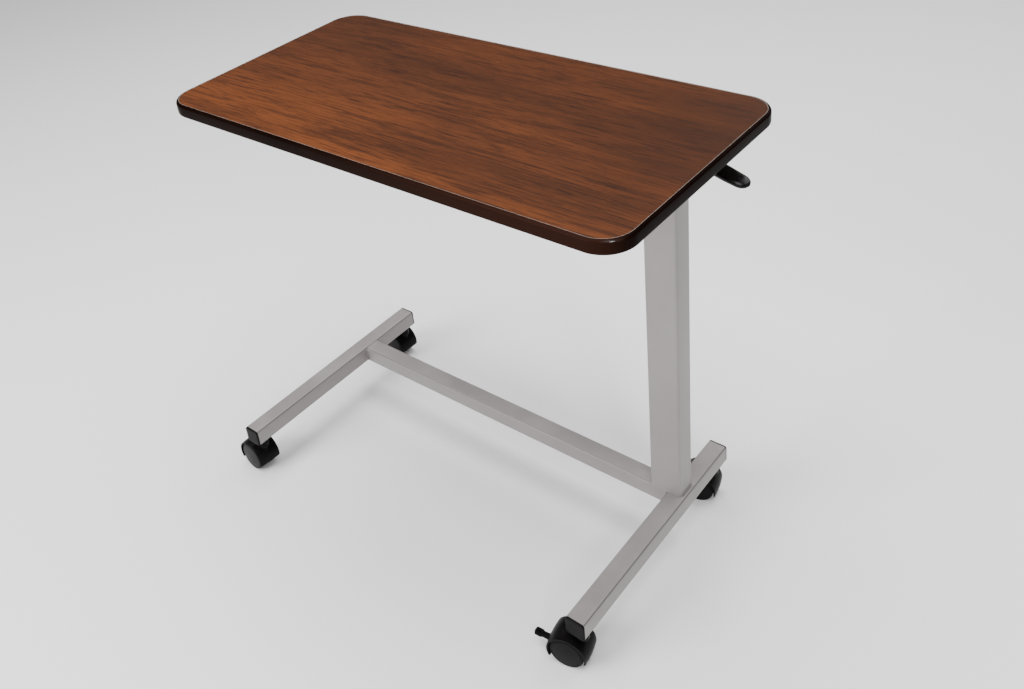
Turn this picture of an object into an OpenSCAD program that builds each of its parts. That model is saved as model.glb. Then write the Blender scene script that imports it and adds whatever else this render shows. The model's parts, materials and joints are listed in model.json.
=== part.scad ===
// Overbed table: an H-shaped rolling base, a two-part mast with a locking gas
// spring, and a laminated top on one side of the mast. Millimetres, +Z up.
// The origin is on the floor, under the middle of the table's outline. +X runs
// along the top towards the mast, +Y towards the side the mast is set back to.

/* [Top] */
// Length of the top, edge band included
top_l = 762; // [600:1:920]
// Width of the top, edge band included
top_w = 381; // [320:1:460]
// Height of the writing surface above the floor, mast fully down
top_h = 711; // [600:1:860]
// How far the middle of the top sits to the right of the origin
mid_x = 14; // [8:1:20]
// Outer radius of the top's corners
top_corner_r = 42; // [30:1:60]
// Thickness of the particle-board core
core_t = 17.6; // [14:0.1:25]
// Thickness of the decorative laminate
laminate_t = 0.8; // [0.6:0.1:1.5]
// Thickness of the backing sheet under the core
backing_t = 0.6; // [0.4:0.1:1.5]
// How far the edge band stands out from the core
band_w = 4.5; // [3:0.1:8]
// How far the band stands above and below the board
band_lip = 0.3; // [0:0.1:1]
// Rounding of the band's outer corners
band_r = 4; // [1:0.5:7]
// Depth of the band's barb in the core's groove
barb_d = 8; // [5:0.5:12]
// Thickness of the band's barb
barb_t = 2; // [1.5:0.1:3]

/* [Base] */
// Length of the base along X, over both feet
base_l = 692; // [560:1:820]
// Length of each foot tube
foot_l = 392; // [330:1:470]
// How far the base's middle sits from the top's middle along X
base_shift = -39; // [-60:1:0]
// Outer size of the square base tubes
tube_s = 30; // [26:1:40]
// Wall of the base tubes
tube_wall = 1.5; // [1.2:0.1:3]
// Outer corner radius of the base tubes
tube_r = 4; // [2:0.5:5]
// How far the crossbar and mast sit behind the base's middle
mast_y = 84; // [40:1:110]
// Thickness of the end caps outside the tubes
cap_t = 3; // [1:0.5:6]
// How deep the end caps reach into the tubes
cap_plug = 7; // [5:0.5:8]

/* [Mast] */
// Outer size of the lower mast along X
mast_w = 50; // [46:1:60]
// Outer size of the lower mast along Y
mast_d = 36; // [32:1:46]
// Wall of the lower mast
mast_wall = 1.5; // [1.2:0.1:2.5]
// Wall of the upper mast
slider_wall = 1.5; // [1.2:0.1:2.5]
// Wall of the plastic glides between the two masts
glide_wall = 2.2; // [1.5:0.1:3]
// Distance from the mast's middle to the top's middle along X
mast_x = 275; // [220:1:300]
// How far the mast can rise
mast_travel = 432; // [300:1:440]
// Distance the mouth of the lower mast stays under the top
mast_drop = 52; // [48:1:70]
// Height of the collar in the mouth of the lower mast
collar_h = 38; // [25:1:45]
// Height of the shoe at the foot of the upper mast
shoe_h = 30; // [20:1:32]

/* [Gas spring] */
// Outer diameter of the gas cylinder
cylinder_d = 22; // [18:0.5:22]
// Wall of the gas cylinder
cylinder_wall = 1.5; // [1:0.1:2]
// Diameter of the piston rod
rod_d = 10; // [8:0.5:12]
// Diameter of the release pin inside the rod
pin_d = 3.1; // [2.5:0.1:4]
// Height of the rod guide in the mouth of the cylinder
guide_h = 20; // [12:1:25]
// Height of the piston
piston_h = 16; // [10:1:20]

/* [Release lever] */
// Distance from the mast's middle to the lever's pivot
lever_arm = 38; // [34:1:46]
// Distance from the pivot to the tip of the paddle
lever_reach = 81; // [70:1:110]
// How far the lever slopes down towards its tip
lever_droop = 17; // [5:1:22]
// Angle that the lever swings up
lever_swing = 5; // [3:0.5:6]
// Width of the steel lever
lever_w = 16; // [12:1:18]
// Thickness of the steel lever
lever_t = 5; // [4:0.5:6]
// Width of the plastic paddle
paddle_w = 28; // [22:1:36]
// Thickness of the plastic paddle
paddle_t = 9; // [8:0.5:12]
// Length of the plastic paddle
paddle_l = 56; // [40:1:60]
// Diameter of the lever's pivot
pivot_d = 6; // [4:0.5:8]

/* [Casters] */
// Diameter of the wheels
wheel_d = 50; // [40:1:54]
// Width of each wheel
wheel_w = 13.5; // [11:0.5:18]
// Height of the foot tubes above the floor
caster_h = 67; // [67:1:90]
// Distance from the swivel to the axle
caster_trail = 19; // [16:1:22]
// Distance from the end of the foot tube to the swivel
caster_inset = 15; // [15:1:30]
// Diameter of the caster stems
stem_d = 8; // [7:0.5:8.5]
// Diameter of the wheel axles
axle_d = 8; // [6:0.5:10]
// Thickness of the web between the two wheels
web_t = 12; // [12:0.5:15]
// Wall of the hood at its sides
hood_wall = 2.5; // [2.5:0.5:4]
// How far the hood swells out at its middle
hood_swell = 1.5; // [1:0.5:4]
// How far the right casters are turned, 0 trails towards the left
right_turn = 12; // [-30:1:30]
// How far the left casters are turned, 0 trails towards the left
left_turn = -4; // [-30:1:30]
// Length of the brake pedal outside the hood
pedal_l = 25; // [18:1:30]
// Width of the brake pedal
pedal_w = 12; // [10:0.5:12]
// Thickness of the brake pedal
pedal_t = 5; // [4:0.5:6]
// How far the released pedal slopes up towards its tip
pedal_rise = 10; // [0:1:12]

/* [Fits] */
// Clearance all round a part that slides or swings past another
slide_gap = 0.3; // [0.2:0.05:0.4]
// Radial clearance of a shaft that turns or slides in a bore
run_gap = 0.05; // [0.02:0.01:0.09]
// Clearance of a part that is pushed into its seat
seat_gap = 0.1; // [0.05:0.05:0.2]

/* [Hidden] */
$fn = 64;
eps = 0.01;

// The base
tube_low = caster_h;
tube_top = caster_h + tube_s;
foot_x = [base_shift - base_l / 2 + tube_s / 2, base_shift + base_l / 2 - tube_s / 2];
bar_x0 = foot_x[0] + tube_s / 2;
bar_x1 = foot_x[1] - tube_s / 2;
bead = 3.2;

// The top
board_t = core_t + laminate_t + backing_t;
board_low = top_h - board_t;
board_l = top_l - 2 * band_w;
board_w = top_w - 2 * band_w;
board_r = top_corner_r - band_w;
band_h = board_t + 2 * band_lip;
band_mid = board_low + board_t / 2;

// The rails and the bracket under the top
rail_w = 30;
rail_h = 8;
rail_wall = 1.5;
rail_y = 40;
rail_x0 = -top_l / 2 + 130;
rail_x1 = mast_x + 70;
bracket_l = 150;
bracket_w = 120;
bracket_t = 4;
bracket_top = board_low - rail_h;
bracket_low = bracket_top - bracket_t;
screw_d = 4;
screw_l = 13;
screw_head_d = 8;
screw_head_t = 2.4;
screw_count = 4;
screw_pitch = (bracket_x0() - rail_x0 - 50) / (screw_count - 1);

// The lower mast and its foot plate
mast_top = board_low - mast_drop;
mast_in_w = mast_w - 2 * mast_wall;
mast_in_d = mast_d - 2 * mast_wall;
plate_t = 4;
stud_d = 8;
stud_h = 10;

// The upper mast, inside the glides
slider_w = mast_in_w - 2 * (glide_wall + slide_gap);
slider_d = mast_in_d - 2 * (glide_wall + slide_gap);
slider_low = tube_top + 14;
slider_in_w = slider_w - 2 * slider_wall;
slider_in_d = slider_d - 2 * slider_wall;
shoe_lip = 3;
collar_lip = 3;

// The gas spring
cylinder_r = cylinder_d / 2;
bore_r = cylinder_r - cylinder_wall;
cylinder_low = tube_top + plate_t;
plug_h = 16;
seat_t = 5;
nut_t = 4;
nut_d = 15;
thread_d = 8;
pin_show = 4.2;
pin_top = bracket_low - 11.3;
rod_top = pin_top - pin_show;
seat_top = rod_top - nut_t - 0.5;
seat_low = seat_top - seat_t;
piston_low = cylinder_low + plug_h + 8;
cylinder_top = piston_low + piston_h + mast_travel + 12 + guide_h;
rod_low = piston_low;
valve_show = 4;

// The lever
pivot_x = mast_x + lever_arm;
pivot_z = bracket_low - 9;
hub_r = pivot_d / 2 + 3;
nose_r = lever_t / 2 + 1.5;
nose_z = pin_top + slide_gap + nose_r;
ear_t = 3;
ear_gap = 0.5;
ear_l = 2 * hub_r + 3;
tang_l = lever_reach - 12;

// The casters, in a frame with its origin on the floor under the swivel,
// +x away from the trailing side and the axle along y
wheel_r = wheel_d / 2;
wheel_y = web_t / 2 + 0.8;
caster_w = 2 * (wheel_y + wheel_w);
hood_in_r = wheel_r + 1.5;
hood_side_r = hood_in_r + hood_wall;
hood_mid_r = hood_side_r + hood_swell;
hood_tilt = 6;
hood_cut = -9.5;
hood_steps = 4;
flange_t = 1.5;
boss_top = tube_low - flange_t - slide_gap;
boss_r = stem_d / 2 + 5;
boss_low = wheel_r + sqrt(pow(hood_in_r, 2) - pow(caster_trail - boss_r, 2));
neck_r = web_t / 2 - 0.3;
stem_low = wheel_r + axle_d / 2 + 3;
socket_wall = 2;
socket_r = stem_d / 2 + seat_gap + socket_wall;
flange_r = boss_r - 0.5;
brake_pin_d = 3;
brake_r = hood_side_r + 1.2;
brake_angle = 187;
pedal_hub_r = 4;
pedal_slot = pedal_w + 2 * slide_gap;
pedal_play = 1.5;

// Each caster: position of its swivel and its turn
caster_y = foot_l / 2 - caster_inset;
left_front = [foot_x[0], -caster_y, left_turn];
left_rear = [foot_x[0], caster_y, left_turn];
right_front = [foot_x[1], -caster_y, right_turn];
right_rear = [foot_x[1], caster_y, right_turn];
casters = [left_front, left_rear, right_front, right_rear];

// ---------------------------------------------------------------- helpers

function bracket_x0() = mast_x - bracket_l / 2;

// A flat rectangle with round corners, centred
module round_rect(l, w, r) {
    square([l - 2 * r, w], center = true);
    square([l, w - 2 * r], center = true);
    for (x = [-1, 1])
        for (y = [-1, 1])
            translate([x * (l / 2 - r), y * (w / 2 - r)])
                circle(r);
}

// The section of a box tube, centred
module box_section(l, w, wall, r) {
    difference() {
        round_rect(l, w, r);
        round_rect(l - 2 * wall, w - 2 * wall, max(r - wall, 0.5));
    }
}

// Stands its children, drawn in x and y, upright with y turned to Z
module along_y(length) {
    translate([0, length / 2, 0])
        rotate([90, 0, 0])
            linear_extrude(length)
                children();
}

// Puts its children, drawn about the middle of the top, in their place
module placed() {
    translate([mid_x, 0, 0])
        children();
}

// Puts its children in the frame of one caster
module at_caster(place) {
    translate([place[0], place[1], 0])
        rotate([0, 0, place[2]])
            children();
}

// ---------------------------------------------------------------- base

module foot_tube(x) {
    difference() {
        translate([x, 0, tube_low + tube_s / 2])
            along_y(foot_l)
                box_section(tube_s, tube_s, tube_wall, tube_r);
        for (y = [-caster_y, caster_y])
            translate([x, y, tube_low - eps])
                cylinder(h = tube_wall + 2 * eps, r = socket_r + seat_gap);
    }
}

module left_foot() {
    color("#a39f9e")
        foot_tube(foot_x[0]);
}

module right_foot() {
    color("#a39f9e")
        foot_tube(foot_x[1]);
}

module crossbar() {
    color("#a39f9e")
        translate([bar_x0, mast_y, tube_low + tube_s / 2])
            rotate([90, 0, 90])
                linear_extrude(bar_x1 - bar_x0)
                    box_section(tube_s, tube_s, tube_wall, tube_r);
}

// One upright fillet in the corner that points to side_x and side_y
module upright_bead(x, y, side_x, side_y) {
    translate([x, y, tube_low + tube_r])
        linear_extrude(tube_s - 2 * tube_r)
            polygon([[0, 0], [side_x * bead, 0], [0, side_y * bead]]);
}

// The fillet along one side of the mast's foot, on top of the base tubes
module foot_bead(length) {
    rotate([90, 0, 0])
        translate([0, 0, -length / 2])
            linear_extrude(length)
                polygon([[0, 0], [bead, 0], [0, bead]]);
}

module weld_beads() {
    color("#8f8b8a") {
        for (side = [-1, 1]) {
            upright_bead(bar_x0, mast_y + side * tube_s / 2, 1, side);
            upright_bead(bar_x1, mast_y + side * tube_s / 2, -1, side);
        }
        translate([mast_x - mast_w / 2, mast_y, tube_top])
            mirror([1, 0, 0])
                foot_bead(tube_s - 2 * tube_r);
        translate([mast_x + mast_w / 2, mast_y, tube_top])
            foot_bead(mast_d - 2 * tube_r);
    }
}

// An end cap; side is -1 at the front and 1 at the rear
module end_cap(x, side) {
    plug_s = tube_s - 2 * tube_wall - 2 * seat_gap;
    plug_r = max(tube_r - tube_wall, 0.5);
    color("#1c1c1d")
        translate([x, side * foot_l / 2, tube_low + tube_s / 2]) {
            translate([0, side * cap_t / 2, 0])
                along_y(cap_t)
                    round_rect(tube_s, tube_s, tube_r);
            translate([0, -side * cap_plug / 2, 0])
                along_y(cap_plug)
                    round_rect(plug_s, plug_s, plug_r);
        }
}

// Four steel sleeves that hold the caster stems in the foot tubes
module caster_sockets() {
    sleeve_h = tube_s - tube_wall - seat_gap;
    color("#8c8c8e")
        for (place = casters)
            translate([place[0], place[1], 0])
                difference() {
                    union() {
                        translate([0, 0, tube_low - flange_t])
                            cylinder(h = flange_t, r = flange_r);
                        translate([0, 0, tube_low - eps])
                            cylinder(h = sleeve_h + eps, r = socket_r);
                    }
                    translate([0, 0, tube_low - flange_t - eps])
                        cylinder(h = tube_s + flange_t, r = stem_d / 2 + run_gap);
                }
}

// ---------------------------------------------------------------- lower mast

module lower_mast() {
    color("#a6a2a1")
        translate([mast_x, mast_y, tube_top])
            linear_extrude(mast_top - tube_top)
                box_section(mast_w, mast_d, mast_wall, tube_r);
}

module foot_plate() {
    plate_w = mast_in_w - 2 * seat_gap;
    plate_d = mast_in_d - 2 * seat_gap;
    color("#8c8c8e")
        translate([mast_x, mast_y, tube_top]) {
            linear_extrude(plate_t)
                round_rect(plate_w, plate_d, max(tube_r - mast_wall, 0.5));
            cylinder(h = plate_t + stud_h, r = stud_d / 2);
        }
}

// The ring that guides the upper mast in the mouth of the lower one
module mast_collar() {
    ring_w = mast_in_w - 2 * seat_gap;
    ring_d = mast_in_d - 2 * seat_gap;
    hole_w = slider_w + 2 * slide_gap;
    hole_d = slider_d + 2 * slide_gap;
    color("#242425")
        translate([mast_x, mast_y, mast_top])
            difference() {
                union() {
                    translate([0, 0, -collar_h])
                        linear_extrude(collar_h + eps)
                            round_rect(ring_w, ring_d, max(tube_r - mast_wall, 0.5));
                    linear_extrude(collar_lip)
                        round_rect(mast_w, mast_d, tube_r);
                }
                translate([0, 0, -collar_h - eps])
                    linear_extrude(collar_h + collar_lip + 2 * eps)
                        round_rect(hole_w, hole_d, 1);
            }
}

// ---------------------------------------------------------------- gas spring

module gas_cylinder() {
    color("#202124")
        translate([mast_x, mast_y, cylinder_low])
            difference() {
                cylinder(h = cylinder_top - cylinder_low, r = cylinder_r);
                translate([0, 0, plug_h])
                    cylinder(h = cylinder_top - cylinder_low, r = bore_r);
                translate([0, 0, -eps])
                    cylinder(h = stud_h + 1, r = stud_d / 2 + run_gap);
            }
}

module rod_guide() {
    color("#2c2c2e")
        translate([mast_x, mast_y, cylinder_top - guide_h])
            difference() {
                cylinder(h = guide_h, r = bore_r - run_gap);
                translate([0, 0, -eps])
                    cylinder(h = guide_h + 2 * eps, r = rod_d / 2 + run_gap);
            }
}

module piston_rod() {
    color("#c4c6c8")
        translate([mast_x, mast_y, 0])
            difference() {
                union() {
                    translate([0, 0, rod_low])
                        cylinder(h = seat_low - rod_low, r = rod_d / 2);
                    translate([0, 0, seat_low - eps])
                        cylinder(h = rod_top - seat_low + eps, r = thread_d / 2);
                }
                translate([0, 0, rod_low - eps])
                    cylinder(h = rod_top - rod_low + 2 * eps, r = pin_d / 2 + run_gap);
            }
}

module piston() {
    color("#b08a4a")
        translate([mast_x, mast_y, piston_low])
            difference() {
                cylinder(h = piston_h, r = bore_r - run_gap);
                translate([0, 0, -eps])
                    cylinder(h = piston_h + 2 * eps, r = rod_d / 2 + run_gap);
            }
}

module release_pin() {
    color("#d0d2d4")
        translate([mast_x, mast_y, rod_low - valve_show])
            cylinder(h = pin_top - rod_low + valve_show, r = pin_d / 2);
}

// ---------------------------------------------------------------- upper mast

module upper_mast() {
    slot_w = lever_w + 4;
    slot_low = pivot_z - 7;
    color("#aaa6a5")
        difference() {
            translate([mast_x, mast_y, slider_low])
                linear_extrude(bracket_low - slider_low)
                    box_section(slider_w, slider_d, slider_wall, 2);
            translate([mast_x + slider_in_w / 2 - 1, mast_y - slot_w / 2, slot_low])
                cube([slider_wall + 2, slot_w, bracket_low - slot_low + eps]);
        }
}

// The shoe that carries the foot of the upper mast in the lower one
module mast_shoe() {
    shoe_w = mast_in_w - 2 * slide_gap;
    shoe_d = mast_in_d - 2 * slide_gap;
    color("#242425")
        translate([mast_x, mast_y, slider_low])
            difference() {
                translate([0, 0, -shoe_lip])
                    linear_extrude(shoe_h + shoe_lip)
                        round_rect(shoe_w, shoe_d, max(tube_r - mast_wall, 0.5));
                linear_extrude(shoe_h + eps)
                    round_rect(slider_w + 2 * seat_gap, slider_d + 2 * seat_gap, 2);
                translate([0, 0, -shoe_lip - eps])
                    cylinder(h = shoe_lip + 2 * eps, r = cylinder_r + 1);
            }
}

// The plate across the upper mast that the rod pushes against
module rod_seat() {
    color("#8c8c8e")
        translate([mast_x, mast_y, seat_low])
            difference() {
                linear_extrude(seat_t)
                    round_rect(slider_in_w - 2 * seat_gap, slider_in_d - 2 * seat_gap, 0.5);
                translate([0, 0, -eps])
                    cylinder(h = seat_t + 2 * eps, r = thread_d / 2 + run_gap);
            }
}

module rod_nut() {
    color("#9a9b9d")
        translate([mast_x, mast_y, seat_top])
            difference() {
                cylinder(h = nut_t, r = nut_d / 2, $fn = 6);
                translate([0, 0, -eps])
                    cylinder(h = nut_t + 2 * eps, r = thread_d / 2 + run_gap);
            }
}

// ---------------------------------------------------------------- under the top

// One ear of the lever's clevis
module ear() {
    difference() {
        translate([pivot_x - ear_l / 2, 0, pivot_z - hub_r - 1])
            cube([ear_l, ear_t, bracket_low - pivot_z + hub_r + 1 + eps]);
        translate([pivot_x, -eps, pivot_z])
            rotate([-90, 0, 0])
                cylinder(h = ear_t + 2 * eps, r = pivot_d / 2 + run_gap);
    }
}

module top_bracket() {
    ear_y = lever_w / 2 + ear_gap;
    color("#969291") {
        translate([mast_x, mast_y, bracket_low])
            linear_extrude(bracket_t)
                round_rect(bracket_l, bracket_w, 10);
        translate([0, mast_y + ear_y, 0])
            ear();
        translate([0, mast_y - ear_y - ear_t, 0])
            ear();
    }
}

// A channel that is open downwards; y is its middle
module rail(y) {
    difference() {
        translate([rail_x0, y - rail_w / 2, bracket_top])
            cube([rail_x1 - rail_x0, rail_w, rail_h]);
        translate([rail_x0 - 1, y - rail_w / 2 + rail_wall, bracket_top - 1])
            cube([rail_x1 - rail_x0 + 2, rail_w - 2 * rail_wall, rail_h + 1 - rail_wall]);
        for (i = [0 : screw_count - 1])
            translate([rail_x0 + 25 + i * screw_pitch, y, board_low - rail_wall - 1])
                cylinder(h = rail_wall + 2, r = screw_d / 2 + seat_gap);
    }
}

module front_rail() {
    color("#969291")
        rail(mast_y - rail_y);
}

module rear_rail() {
    color("#969291")
        rail(mast_y + rail_y);
}

// The shank of every screw; grow is the extra radius for its pilot hole
module screw_shanks(grow) {
    for (side = [-1, 1])
        for (i = [0 : screw_count - 1])
            translate([rail_x0 + 25 + i * screw_pitch, mast_y + side * rail_y, 0])
                translate([0, 0, board_low - rail_wall - eps])
                    cylinder(h = screw_l + rail_wall + grow, r = screw_d / 2 + grow);
}

module rail_screws() {
    color("#b5b7b9") {
        screw_shanks(0);
        for (side = [-1, 1])
            for (i = [0 : screw_count - 1])
                translate([rail_x0 + 25 + i * screw_pitch, mast_y + side * rail_y, 0])
                    translate([0, 0, board_low - rail_wall - screw_head_t])
                        cylinder(h = screw_head_t, r = screw_head_d / 2);
    }
}

// ---------------------------------------------------------------- the top

module board(low, thickness) {
    translate([0, 0, low])
        linear_extrude(thickness)
            round_rect(board_l, board_w, board_r);
}

module top_core() {
    groove_d = barb_d + 0.5;
    groove_t = barb_t + 2 * seat_gap;
    color("#b98f62")
        difference() {
            board(board_low + backing_t, core_t);
            difference() {
                translate([0, 0, band_mid - groove_t / 2])
                    linear_extrude(groove_t)
                        round_rect(board_l + 2, board_w + 2, board_r + 1);
                translate([0, 0, band_mid - groove_t / 2 - 1])
                    linear_extrude(groove_t + 2)
                        round_rect(board_l - 2 * groove_d, board_w - 2 * groove_d,
                                   board_r - groove_d);
            }
            screw_shanks(seat_gap);
        }
}

module top_laminate() {
    color("#6a3a26")
        board(top_h - laminate_t, laminate_t);
}

module backing_sheet() {
    color("#4a3a30")
        difference() {
            board(board_low, backing_t);
            screw_shanks(seat_gap);
        }
}

// The band's section: x outwards from the core's edge, y up from its middle
module band_section() {
    square_h = band_h - 2 * band_r;
    translate([0, -band_h / 2])
        square([band_w - band_r, band_h]);
    translate([0, -square_h / 2])
        square([band_w, square_h]);
    for (side = [-1, 1])
        translate([band_w - band_r, side * square_h / 2])
            circle(band_r);
    translate([-barb_d, -barb_t / 2])
        square([barb_d + 0.1, barb_t]);
}

// Keeps the part of the section outside the core's edge and its barb
module band_outline() {
    difference() {
        band_section();
        translate([-band_r - 1, barb_t / 2])
            square([band_r + 1, band_h]);
        translate([-band_r - 1, -barb_t / 2 - band_h])
            square([band_r + 1, band_h]);
    }
}

module edge_band() {
    straight_x = board_l - 2 * board_r;
    straight_y = board_w - 2 * board_r;
    color("#23140f")
        translate([0, 0, band_mid]) {
            for (side = [0, 180])
                rotate([0, 0, side]) {
                    translate([board_l / 2, 0, 0])
                        along_y(straight_y)
                            band_outline();
                    translate([0, board_w / 2, 0])
                        rotate([0, 0, 90])
                            along_y(straight_x)
                                band_outline();
                    translate([straight_x / 2, straight_y / 2, 0])
                        rotate_extrude(angle = 90)
                            translate([board_r, 0])
                                band_outline();
                    translate([-straight_x / 2, straight_y / 2, 0])
                        rotate([0, 0, 90])
                            rotate_extrude(angle = 90)
                                translate([board_r, 0])
                                    band_outline();
                }
        }
}

// ---------------------------------------------------------------- lever

// Puts its children along the handle: x from the pivot to the tip
module at_handle() {
    translate([pivot_x, mast_y, pivot_z])
        rotate([0, lever_droop, 0])
            children();
}

// The lever seen from the front, with its pivot at the origin
module lever_profile() {
    nose_up = nose_z - pivot_z;
    difference() {
        union() {
            circle(hub_r);
            translate([-lever_arm, nose_up])
                circle(nose_r);
            translate([-lever_arm, nose_up - lever_t / 2])
                square([lever_arm, lever_t]);
            rotate(-lever_droop)
                translate([0, -lever_t / 2])
                    square([tang_l, lever_t]);
        }
        circle(pivot_d / 2 + run_gap);
    }
}

module release_lever() {
    color("#3a3b3d")
        translate([pivot_x, mast_y, pivot_z])
            along_y(lever_w)
                lever_profile();
}

module lever_paddle() {
    color("#151516")
        at_handle()
            difference() {
                translate([lever_reach - paddle_l / 2, 0, 0]) {
                    translate([0, 0, -paddle_t / 2 + 1.5])
                        linear_extrude(paddle_t - 3)
                            round_rect(paddle_l, paddle_w, 9);
                    translate([0, 0, -paddle_t / 2])
                        linear_extrude(paddle_t)
                            round_rect(paddle_l - 3, paddle_w - 3, 7.5);
                }
                translate([-1, -lever_w / 2 - seat_gap, -lever_t / 2 - seat_gap])
                    cube([tang_l + 1 + seat_gap, lever_w + 2 * seat_gap, lever_t + 2 * seat_gap]);
            }
}

module lever_pivot() {
    pin_l = lever_w + 2 * (ear_gap + ear_t) + 3;
    color("#b5b7b9")
        translate([pivot_x, mast_y + pin_l / 2, pivot_z])
            rotate([90, 0, 0])
                cylinder(h = pin_l, r = pivot_d / 2);
}

// ---------------------------------------------------------------- casters

module stem(place) {
    color("#9a9b9d")
        at_caster(place)
            translate([0, 0, stem_low])
                cylinder(h = tube_top - tube_wall - 0.5 - stem_low, r = stem_d / 2);
}

// The hood's swollen outline, from one rim to the other
function hood_points() = [
    for (i = [-hood_steps : hood_steps])
        let (u = i / hood_steps)
            [hood_mid_r - hood_swell * u * u, u * caster_w / 2]
];

// The hood before its openings are cut: a swollen drum round the axle
module hood_drum() {
    rotate([90, 0, 0])
        rotate_extrude()
            polygon(concat([[0, -caster_w / 2]], hood_points(), [[0, caster_w / 2]]));
}

// Everything under the hood's slanted lower edge
module below_hood() {
    rotate([0, -hood_tilt, 0])
        translate([-60, -60, hood_cut - 60])
            cube([120, 120, 60]);
}

// The room for the wheel on one side of the web
module wheel_pocket(side) {
    translate([0, side * (web_t / 2 + caster_w / 2), 0])
        rotate([90, 0, 0])
            cylinder(h = caster_w, r = hood_in_r, center = true);
}

module hood(place, brake) {
    color("#1f1f20")
        at_caster(place)
            difference() {
                union() {
                    translate([-caster_trail, 0, wheel_r])
                        difference() {
                            hood_drum();
                            wheel_pocket(-1);
                            wheel_pocket(1);
                            below_hood();
                        }
                    translate([-caster_trail, web_t / 2, wheel_r])
                        rotate([90, 0, 0])
                            cylinder(h = web_t, r = axle_d / 2 + 4);
                    translate([0, 0, boss_low])
                        cylinder(h = boss_top - boss_low, r = boss_r);
                    translate([0, 0, stem_low - 2])
                        cylinder(h = boss_low + 2 - stem_low + 2, r = neck_r);
                }
                translate([0, 0, stem_low])
                    cylinder(h = boss_top, r = stem_d / 2 + run_gap);
                translate([-caster_trail, web_t, wheel_r])
                    rotate([90, 0, 0])
                        cylinder(h = 2 * web_t, r = axle_d / 2 + run_gap);
                if (brake)
                    pedal_room();
            }
}

// Puts its children at the brake pedal's pivot
module at_pedal() {
    translate([-caster_trail, 0, wheel_r])
        rotate([0, -brake_angle, 0])
            translate([brake_r, 0, 0])
                rotate([0, brake_angle, 0])
                    children();
}

// The slot and pin holes that a braked hood has for its pedal
module pedal_room() {
    room = pedal_hub_r + pedal_play;
    at_pedal() {
        translate([-14, -pedal_slot / 2, -room])
            cube([14 + room, pedal_slot, 2 * room]);
        rotate([90, 0, 0])
            cylinder(h = pedal_slot + 8, r = brake_pin_d / 2 + run_gap, center = true);
    }
}

module axle(place) {
    axle_l = 2 * (wheel_y + wheel_w - 4);
    color("#b5b7b9")
        at_caster(place)
            translate([-caster_trail, axle_l / 2, wheel_r])
                rotate([90, 0, 0])
                    cylinder(h = axle_l, r = axle_d / 2);
}

// Half of a wheel's section: x is the radius, y goes out from its inner face
module wheel_section() {
    edge_r = 3;
    hub = axle_d / 2 + run_gap;
    difference() {
        union() {
            translate([0, 0])
                square([wheel_r - edge_r, wheel_w]);
            translate([0, edge_r])
                square([wheel_r, wheel_w - 2 * edge_r]);
            for (y = [edge_r, wheel_w - edge_r])
                translate([wheel_r - edge_r, y])
                    circle(edge_r);
        }
        translate([-1, -1])
            square([hub + 1, wheel_w - 2.8]);
    }
}

// side is -1 for the wheel on the hood's -y side and 1 for the other
module wheel(place, side) {
    color("#1a1a1c")
        at_caster(place)
            translate([-caster_trail, side * wheel_y, wheel_r])
                rotate([-side * 90, 0, 0])
                    rotate_extrude($fn = 96)
                        intersection() {
                            wheel_section();
                            square([wheel_r, wheel_w]);
                        }
}

module pedal(place) {
    color("#151516")
        at_caster(place)
            at_pedal()
                rotate([0, pedal_rise, 0])
                    difference() {
                        union() {
                            rotate([90, 0, 0])
                                cylinder(h = pedal_w, r = pedal_hub_r, center = true);
                            translate([-pedal_l, -pedal_w / 2, -pedal_t / 2])
                                cube([pedal_l, pedal_w, pedal_t]);
                        }
                        rotate([90, 0, 0])
                            cylinder(h = 2 * pedal_w, r = brake_pin_d / 2 + run_gap, center = true);
                    }
}

module pedal_pin(place) {
    color("#b5b7b9")
        at_caster(place)
            at_pedal()
                rotate([90, 0, 0])
                    cylinder(h = pedal_slot + 7, r = brake_pin_d / 2, center = true);
}

// ---------------------------------------------------------------- nodes

placed() left_foot();
placed() right_foot();
placed() crossbar();
placed() weld_beads();
placed() end_cap(foot_x[0], -1);  // left_front_cap
placed() end_cap(foot_x[0], 1);  // left_rear_cap
placed() end_cap(foot_x[1], -1);  // right_front_cap
placed() end_cap(foot_x[1], 1);  // right_rear_cap
placed() caster_sockets();
placed() lower_mast();
placed() foot_plate();
placed() mast_collar();
placed() gas_cylinder();
placed() rod_guide();
placed() upper_mast();
placed() mast_shoe();
placed() rod_seat();
placed() rod_nut();
placed() piston_rod();
placed() piston();
placed() top_bracket();
placed() front_rail();
placed() rear_rail();
placed() rail_screws();
placed() lever_pivot();
placed() top_core();
placed() top_laminate();
placed() backing_sheet();
placed() edge_band();
placed() release_lever();
placed() lever_paddle();
placed() release_pin();
placed() stem(left_front);  // left_front_stem
placed() hood(left_front, false);  // left_front_hood
placed() axle(left_front);  // left_front_axle
placed() wheel(left_front, -1);  // left_front_wheel_a
placed() wheel(left_front, 1);  // left_front_wheel_b
placed() stem(left_rear);  // left_rear_stem
placed() hood(left_rear, false);  // left_rear_hood
placed() axle(left_rear);  // left_rear_axle
placed() wheel(left_rear, -1);  // left_rear_wheel_a
placed() wheel(left_rear, 1);  // left_rear_wheel_b
placed() stem(right_front);  // right_front_stem
placed() hood(right_front, true);  // right_front_hood
placed() axle(right_front);  // right_front_axle
placed() wheel(right_front, -1);  // right_front_wheel_a
placed() wheel(right_front, 1);  // right_front_wheel_b
placed() pedal(right_front);  // right_front_pedal
placed() pedal_pin(right_front);  // right_front_pedal_pin
placed() stem(right_rear);  // right_rear_stem
placed() hood(right_rear, true);  // right_rear_hood
placed() axle(right_rear);  // right_rear_axle
placed() wheel(right_rear, -1);  // right_rear_wheel_a
placed() wheel(right_rear, 1);  // right_rear_wheel_b
placed() pedal(right_rear);  // right_rear_pedal
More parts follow.
